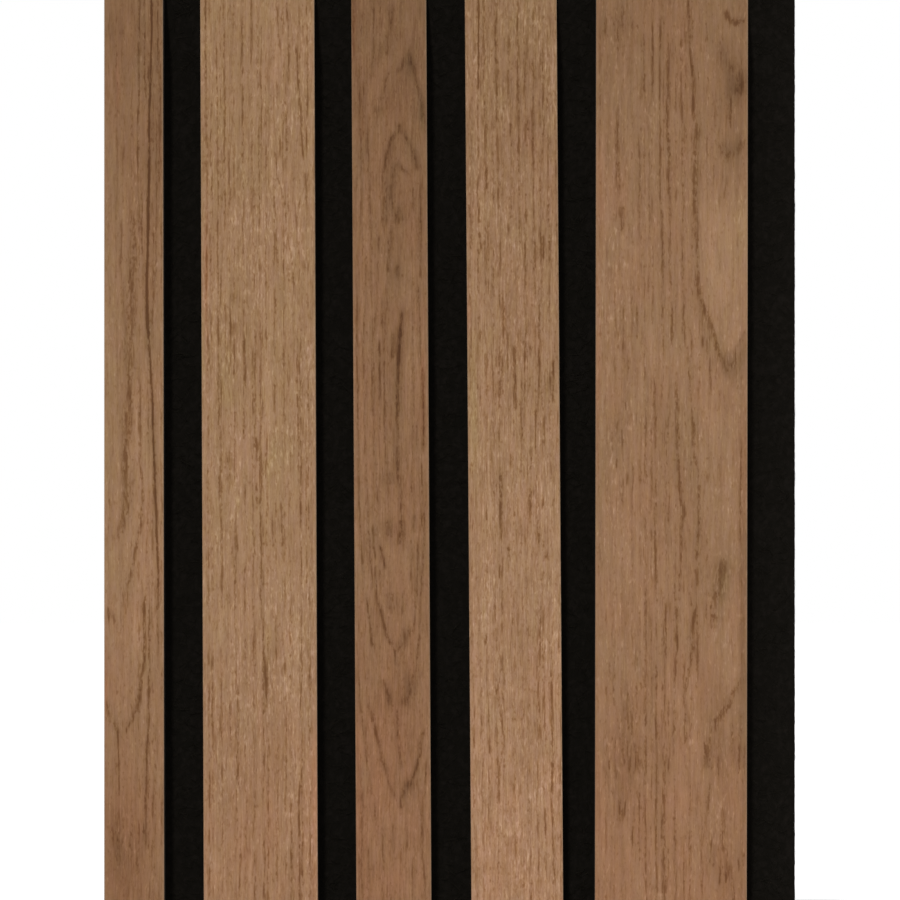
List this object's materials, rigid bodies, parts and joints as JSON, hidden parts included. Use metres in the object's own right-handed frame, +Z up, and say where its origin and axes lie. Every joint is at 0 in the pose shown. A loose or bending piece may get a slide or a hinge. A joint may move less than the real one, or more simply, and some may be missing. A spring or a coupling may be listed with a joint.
{
  "type": "acoustic slat wall panel",
  "caption": "Section of acoustic slat wall panel: oak-veneered MDF bars of uneven widths, stapled upright to a black felt sheet that goes against the wall.",
  "frame": {"origin": "centre of the felt's back face, where the board meets the wall", "axes": "+Z up along the bars, +Y into the wall, -Y out of the oak face, +X to the right seen from the front"},
  "size_m": [0.231, 0.021, 0.32],
  "materials": {
    "black_felt": "needled polyester felt, matt",
    "dyed_mdf": "black-dyed fibreboard, sawn, matt",
    "oak_veneer": "sliced oak veneer, matt lacquer",
    "staple_wire": "galvanised wire"
  },
  "bodies": {
    "root": {"felt_backing": "black_felt", "slat_core_1": "dyed_mdf", "slat_core_2": "dyed_mdf", "slat_core_3": "dyed_mdf", "slat_core_4": "dyed_mdf", "slat_core_5": "dyed_mdf", "slat_veneer_1": "oak_veneer", "slat_veneer_2": "oak_veneer", "slat_veneer_3": "oak_veneer", "slat_veneer_4": "oak_veneer", "slat_veneer_5": "oak_veneer", "staples": "staple_wire"}
  },
  "joints": []
}
